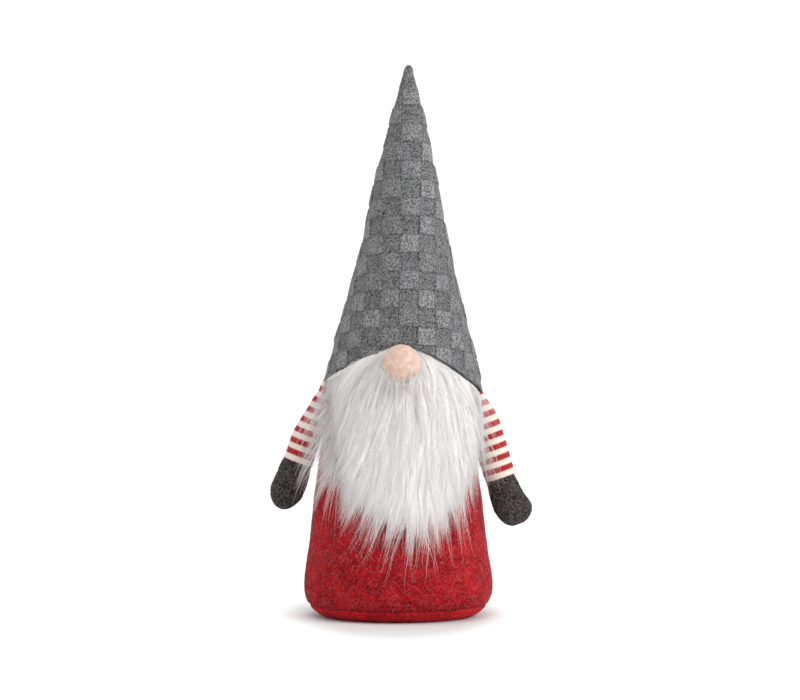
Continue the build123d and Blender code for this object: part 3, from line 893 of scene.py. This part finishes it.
# The panel's edges as (height, x), the coat's lower edge as (x, height) and how locks lean by x
PANEL_LEFT = ((116, 6), (124, -8), (136, -24), (152, -36), (175, -45), (204, -55), (222, -50),
              (238, -22), (247, -2))
PANEL_RIGHT = ((116, 18), (124, 32), (136, 43), (152, 52), (175, 62), (204, 78), (222, 58),
               (238, 28), (247, 8))
HEM = ((-72, 236), (-62, 214), (-57, 182), (-51, 136), (-35, 110), (-10, 97), (14, 89), (35, 97),
       (51, 110), (61, 127), (70, 150), (77, 178), (86, 220))
HANG = ((-70, -36), (-31, -26), (-10, -19), (10, -8), (28, -1), (50, 9), (75, 17))


def fur_floor(z):
    """Distance from the axis to the skin of the fur: on the body, and behind the brim above it."""
    return np.maximum(body_radius(z) + 1.8, hat_radius(z) - FELT - 15)


def fur_surface(angle, z):
    """Distance from the axis to the outside of the beard."""
    side = ease((np.abs(angle) - 0.6) / 0.7)
    lower = curve(((30, 0.16), (60, 0.25), (90, 0.55), (115, 0.85), (140, 1.0), (250, 1.0)), z)
    free = fur_floor(z) + FUR_DEPTH * (1 - 0.3 * side) * lower
    under = hat_radius(z) - FELT - 2.6 + 4.0 * np.maximum(brim_height(angle) - z, 0)
    return np.minimum(free, under)


def panel_angle(x, z):
    """Angle round the body of a point x across the beard's panel at a height."""
    return x / (body_radius(np.minimum(z, BRIM_LOW)) + 2)


def beard_panel():
    """The woven panel that carries the fur: sewn on under the brim and hanging below that."""
    z = np.linspace(PANEL_LEFT[0][0], PANEL_LEFT[-1][0], 70)
    left, right = curve(PANEL_LEFT, z), curve(PANEL_RIGHT, z)
    share = np.linspace(0, 1, 50)
    angle = panel_angle(left[:, None] + share * (right - left)[:, None], z[:, None])
    back, front = (around(fur_floor(z)[:, None] + gap, angle, z[:, None]) for gap in (-0.9, 0.3))
    rings = np.concatenate([front, back[:, ::-1]], axis=1)
    mesh = make_mesh("beard_panel", *closed_form(rings))
    replaced = ("beard_backing", "beard_backing_top")
    panel = piece("beard_panel", mesh, BACKING, "backing", BEARD_BLEND, replaced)
    flat = ((right - left).max() * MM, np.ptp(z) * MM)
    return panel, flat, float(np.trapz(right - left, z) * MM * MM)


def lock_roots(pitch, rng):
    """Root angles and heights of the beard's locks, on a shaken grid inside the panel."""
    roots = []
    for i, z in enumerate(np.arange(PANEL_LEFT[0][0] + 1, PANEL_LEFT[-1][0], pitch * 0.87)):
        for x in np.arange(curve(PANEL_LEFT, z) + (i % 2) * pitch / 2, curve(PANEL_RIGHT, z), pitch):
            shaken = np.array([x, z]) + rng.normal(0, 0.25 * pitch, 2)
            angle = panel_angle(*shaken)
            if shaken[1] < brim_height(angle) + 9:
                roots.append((angle, shaken[1]))
    return np.array(roots).T


def lock_paths(angle, z, long, tops, rng):
    """The middle line of each lock as angles, heights and depths from 0, skin, to 1, outside.

    A lock starts away from the nose, the more so close under the brim, and then turns to hang.
    """
    count = len(angle)
    below_brim = np.maximum(brim_height(angle) - z, 0)
    sideways = np.tanh((np.sin(angle) * 72 - NOSE[0]) / 26)
    start = sideways * (48 * np.exp(-below_brim / 16) + 14) + rng.normal(0, 6, count)
    hang = curve(HANG, np.sin(angle) * 80) + rng.normal(0, 7, count)
    length = LOCK_LENGTH * long * rng.uniform(0.85, 1.18, count)
    top = rng.uniform(*tops, count)
    wave, phase = rng.uniform(0.3, 1.3, count), rng.uniform(0, 6.3, count)
    low = 0.1 + 0.75 * np.exp(-below_brim / 9)
    angles, heights, depths = [angle], [z], [low]
    step = length / (LOCK_STEPS - 1)
    for k in range(1, LOCK_STEPS):
        s = step * k
        heading = DEG * (hang + (start - hang) * np.exp(-s / 28))
        heading = heading + 0.13 * wave * np.cos(s / 8.5 + phase)
        radius = fur_surface(angles[-1], heights[-1])
        angles.append(angles[-1] + step * np.sin(heading) / radius)
        heights.append(heights[-1] - step * np.cos(heading))
        depths.append(low + (top - low) * ease(s / 18))
    return np.array([angles, heights, depths]).transpose(0, 2, 1)


def gathered(locks, count, gather, rng):
    """How the hairs of each lock lie about its middle line.

    Gives each hair's lock, the share of the lock it reaches, the places along it and how far it
    strays across and along there, drawn in towards its tuft and towards its lock's point.
    """
    tufts = 5
    lock = np.repeat(np.arange(locks), count)
    total = len(lock)
    tuft = rng.integers(0, tufts, total)
    tuft_at = rng.normal(0, 2.7, (locks, tufts, 2))[lock, tuft]
    own_at = rng.normal(0, 1.6, (total, 2))
    reach = rng.uniform(0.55, 1.0, total) ** 0.7
    t = np.linspace(0, 1, HAIR_STEPS)
    strays = rng.random(total) < 0.08
    to_lock = 1 - np.where(strays, 0.0, gather)[:, None] * ease(t * 1.1)
    to_tuft = 1 - np.where(strays, -0.8, gather + 0.1)[:, None] * ease(t * 1.2)
    offset = tuft_at[:, None] * to_lock[..., None] + own_at[:, None] * to_tuft[..., None]
    offset[..., 0] += rng.normal(0, 0.3, (total, HAIR_STEPS)) * t
    return lock, reach, t, offset


def hairs_of(paths, count, gather, loose, rng):
    """Hairs of locks that lie on the beard: their points, outward directions and tones, with painted
    shade on the hairs that lie deeper in the coat.

    Each is cut off where it has gone its own distance below the coat's lower edge.
    """
    lock, reach, t, offset = gathered(paths.shape[1], count, gather, rng)
    across = np.sin(paths[0]) * fur_surface(paths[0], paths[1])
    below_hem = np.maximum.accumulate(curve(HEM, across) - paths[1], axis=1)
    allowed = rng.exponential(loose, len(lock)) + rng.normal(-2, 3, len(lock))
    steps_above = (below_hem[lock] < allowed[:, None]).sum(axis=1) + rng.random(len(lock))
    reach = np.minimum(reach, np.maximum(steps_above / LOCK_STEPS, 0.2))
    at = reach[:, None] * t * (LOCK_STEPS - 1)
    whole = np.minimum(at.astype(int), LOCK_STEPS - 2)
    part = at - whole
    field = paths[:, lock[:, None], whole] * (1 - part) + paths[:, lock[:, None], whole + 1] * part
    angles, heights, depths = field
    rounded = 1 - 0.04 * (offset[..., 0] / 3) ** 2
    angles = angles + offset[..., 0] / fur_surface(angles, heights)
    heights = np.minimum(heights + offset[..., 1], brim_height(angles) + 8)
    layer = rng.uniform(0.5, 1.0, len(lock))[:, None] ** 0.5
    lock_tone = rng.uniform(0.1, 1.0, paths.shape[1])[lock]
    # painted shade: hairs that lie deeper in the coat (smaller layer) are darker; the rest of the
    # tone is random by lock and hair
    tone = 0.45 * lock_tone + 0.3 * rng.random(len(lock)) + 0.9 * (layer[:, 0] - 0.7)
    skin = fur_floor(heights)
    depths = np.maximum(depths * (0.3 + 0.7 * layer) * rounded, 0.03)
    radius = skin + depths * (fur_surface(angles, heights) - skin)
    return around(radius, angles, heights), around(1.0, angles[:, 0], 0.0), np.clip(tone, 0, 1)


def side_hairs(side, rng):
    """Thin locks at one side of the beard that fall forwards of the sleeve."""
    locks, lowest, most_lean = SIDE_LOCKS[side]
    z = rng.uniform(lowest, 208, locks)
    angle = side * rng.uniform(0.62, 0.74 + 0.38 * ease((z - 140) / 32))
    root = around(fur_floor(z) + 4, angle, z)
    lean = DEG * rng.uniform(8, most_lean, locks)
    long = 30 + 62 * rng.random(locks) ** 3
    reached = np.minimum(np.sin(lean) * long, SIDE_REACH - np.abs(root[:, 0]))
    end = root + np.stack([side * reached, 0 * long, -np.cos(lean) * long], axis=-1)
    clear = np.sqrt(np.maximum((body_radius(end[:, 2]) + 4) ** 2 - end[:, 0] ** 2, 0))
    end[:, 1] = -np.maximum(clear, rng.uniform(13, 24, locks))
    bow = (root + end) / 2 + around(7.0, angle, 4.0)
    return bowed_hairs(root, bow, end, count=8, rng=rng)


def nose_hairs(rng):
    """Short locks under the nose that curl up over its lower edge."""
    locks = 46
    aside = rng.uniform(-0.85, 0.85, locks) * NOSE_R
    edge = NOSE[2] - np.sqrt(NOSE_R**2 - aside**2)
    angle = (NOSE[0] + aside) / -NOSE[1]
    root = around(fur_surface(angle, edge - 3), angle, edge - 3)
    rise, fall = rng.uniform(7, 17, locks), rng.uniform(5, 14, locks)
    front = np.full(locks, NOSE[1])
    bow = np.stack([NOSE[0] + aside * 1.05, front - 1.25 * NOSE_R, edge + rise], axis=-1)
    end = np.stack([NOSE[0] + aside * 1.4, front - 0.7 * NOSE_R, edge - fall], axis=-1)
    return bowed_hairs(root, bow, end, count=7, rng=rng)


def bowed_hairs(root, bow, end, count, rng):
    """Hairs of locks that bow from root to end: their points, outward directions and tones."""
    lock, reach, t, offset = gathered(len(root), count, 0.35, rng)
    s = (reach[:, None] * t)[..., None]
    start, middle, tip = (place[lock, None] for place in (root, bow, end))
    points = start * (1 - s) ** 2 + middle * 2 * s * (1 - s) + tip * s**2
    points[..., 0] += offset[..., 0]
    points[..., 2] += offset[..., 1]
    return points, np.tile(FRONT, (len(lock), 1)), rng.uniform(0.5, 1.0, len(lock))


def fur_normals(form, middles):
    """Normals that take light as the whole coat does, with a little of each hair's own roundness."""
    middle = np.concatenate([np.repeat(middles[:, :-1], 3, axis=1), middles[:, -1:]], axis=1)
    own = unit(form - middle)
    outward = unit(middle * (1, 1, 0))
    coat = unit(FRONT - outward * 0.2 + np.array((0, 0, 0.3)))
    return unit(own * 0.95 + coat).reshape(-1, 3)


def beard():
    """The woven panel with its fur: a short layer, the full locks, and loose fine hairs."""
    rng = np.random.default_rng(77)
    panel, flat, area = beard_panel()
    short = lock_paths(*lock_roots(6.5, rng), long=0.55, tops=(0.45, 0.75), rng=rng)
    full = lock_paths(*lock_roots(5.6, rng), long=1.0, tops=(0.88, 1.02), rng=rng)
    loose = lock_paths(*lock_roots(6.6, rng), long=1.35, tops=(0.9, 1.05), rng=rng)
    batches = (  # (thickness, hairs)
        (0.26, hairs_of(short, count=22, gather=0.2, loose=3.0, rng=rng)),
        (0.2, hairs_of(full, count=52, gather=0.62, loose=4.0, rng=rng)),
        (0.105, hairs_of(loose, count=34, gather=0.2, loose=17.0, rng=rng)),
        (0.09, side_hairs(-1, rng)),
        (0.09, side_hairs(1, rng)),
        (0.09, nose_hairs(rng)),
    )
    points, up, tone = (np.concatenate([hairs[k] for _, hairs in batches]) for k in range(3))
    thick = np.repeat([radius for radius, _ in batches], [len(hairs[0]) for _, hairs in batches])
    t = np.linspace(0, 1, HAIR_STEPS)
    radii = thick[:, None] * (1 - 0.72 * t**1.5)
    # painted shade: each hair is darker towards its root
    tone = tone[:, None] * (0.75 + 0.25 * ease(t * 2))
    parts = np.array_split(np.argsort(points[:, 0, 2]), FUR_PIECES)
    for i, part in enumerate(parts):
        name = f"beard_fur_{i + 1}"
        point_tone_and_shade = np.concatenate([np.repeat(tone[part, :-1], 3, axis=1), tone[part, -1:]], axis=1)
        form = tubes(points[part], radii[part], up[part])
        normals = fur_normals(form[0].reshape(len(part), -1, 3), points[part])
        mesh = make_mesh(name, *form, {"tone": point_tone_and_shade}, normals)
        replaced = ("beard_fur", "beard_fur_top") if i == 0 else ()
        piece(name, mesh, FUR, "fur", BEARD_BLEND, replaced)


# Frame nodes that stay as they are, inside


def dress_nodes():
    """Materials for the CAD nodes that are kept."""
    kept = {
        CARD: ("base_disc",),
        BACKING: ("weight_bag",),
        PELLETS: ("weight_pellets",),
        STEEL: ("hat_wire", "hat_tip_wire"),
        WHITE_THREAD: ("nose_thread", "beard_stitches", "right_shoulder_stitches",
                       "left_shoulder_stitches"),
        KNIT: ("right_sleeve_gather", "left_sleeve_gather"),
    }
    for material, names in kept.items():
        for name in names:
            slots = frame["nodes"][name].data.materials
            slots.clear()
            slots.append(material)


# Studio

VIEW_MIDDLE = Vector((0.0017, 0, 0.232))
VIEW_DISTANCE = 6.0
VIEW_ELEVATION = 3.8 * DEG
LENS = 310.2
FLOOR_REACH = 9.0  # metres of level floor round the foot
FLOOR_BEND = 3.0  # radius of its turn up into the wall


def paper():
    """White paper that glows, but not close to the foot, so that the shade there shows; there it is
    also painted a darker grey, a painted shadow stretched towards the front and back.
    """
    s = Shader("paper", Roughness=0.9, Specular_IOR_Level=0.1)
    s.principled.inputs["Emission Color"].default_value = (1, 1, 1, 1)
    sheet = s.mix(s.noise(300.0), (0.78, 0.78, 0.78), (0.8, 0.8, 0.8))
    scaled = {0: s.node("TexCoord").outputs["Object"], 1: (1.5, 0.6, 1)}
    stretched = s.node("VectorMath", scaled, operation="MULTIPLY").outputs["Vector"]
    away = s.node("VectorMath", {0: stretched}, operation="LENGTH").outputs["Value"]
    beyond_painted_shadow = s.step(away, 0.085, 0.18)
    # painted shadow: close to the foot the paper is a darker grey (0.62) and does not glow, over an
    # ellipse stretched towards the front and back
    s.colour(s.mix(beyond_painted_shadow, (0.62, 0.62, 0.62), sheet))
    s.feed(s.principled.inputs["Emission Strength"], s.math("MULTIPLY", beyond_painted_shadow, 0.42))
    return s.material


def floor():
    """A level floor that turns up into a wall all round."""
    columns = 96
    turn = np.linspace(0, math.pi / 2, 16)
    level = (0.5, 1, 2, 4, 6)
    turned = FLOOR_REACH + FLOOR_BEND * np.sin(turn)
    reach = np.array([*level, *turned, FLOOR_REACH + FLOOR_BEND])
    high = np.array([*np.zeros(len(level)), *(FLOOR_BEND * (1 - np.cos(turn))), 2 * FLOOR_BEND])
    rings = around(reach[:, None], full_turn(columns), high[:, None]) / MM
    here, beside, quads = ring_grid(len(rings), columns)
    middle_fan = np.stack([np.full(columns, here.size), here[0], beside[0]], axis=-1)
    points = np.concatenate([rings.reshape(-1, 3), np.zeros((1, 3))])
    mesh = make_mesh("floor", points, quads, middle_fan)
    mesh.materials.append(paper())
    new_object("floor", mesh)


def area_light(name, place, size, power):
    """A soft light that shines on the gnome's middle."""
    light = bpy.data.lights.new(name, "AREA")
    light.size = size
    light.energy = power
    obj = new_object(name, light)
    obj.location = place
    obj.rotation_euler = (VIEW_MIDDLE - obj.location).to_track_quat("-Z", "Y").to_euler()


def lights():
    """White light from all sides, and more from the right in front and from above."""
    world = bpy.data.worlds.new("studio")
    bpy.context.scene.world = world
    world.use_nodes = True
    background = world.node_tree.nodes["Background"]
    background.inputs["Color"].default_value = (1, 1, 1, 1)
    background.inputs["Strength"].default_value = 0.72
    area_light("key", (2.0, -1.1, 1.3), 1.8, 46)
    area_light("top", (-0.3, -0.6, 2.2), 1.6, 16)


def camera():
    """A distant camera a little above level."""
    lens = bpy.data.cameras.new("camera")
    lens.lens = LENS
    lens.sensor_width = 36
    lens.clip_end = 200
    obj = new_object("camera", lens)
    back = Vector((0, -math.cos(VIEW_ELEVATION), math.sin(VIEW_ELEVATION)))
    obj.location = VIEW_MIDDLE + VIEW_DISTANCE * back
    obj.rotation_euler = (-back).to_track_quat("-Z", "Y").to_euler()
    bpy.context.scene.camera = obj
    bpy.context.scene.view_settings.view_transform = "Standard"


body_cover()
base_panel()
base_seam()
body_back_seam()
hat()
nose()
for side in ("right", "left"):
    arm_frame = ArmFrame(side)
    sleeve(arm_frame)
    sleeve_top(arm_frame)
    mitten(arm_frame)
    cuff_seam(arm_frame)
beard()
dress_nodes()
floor()
lights()
camera()
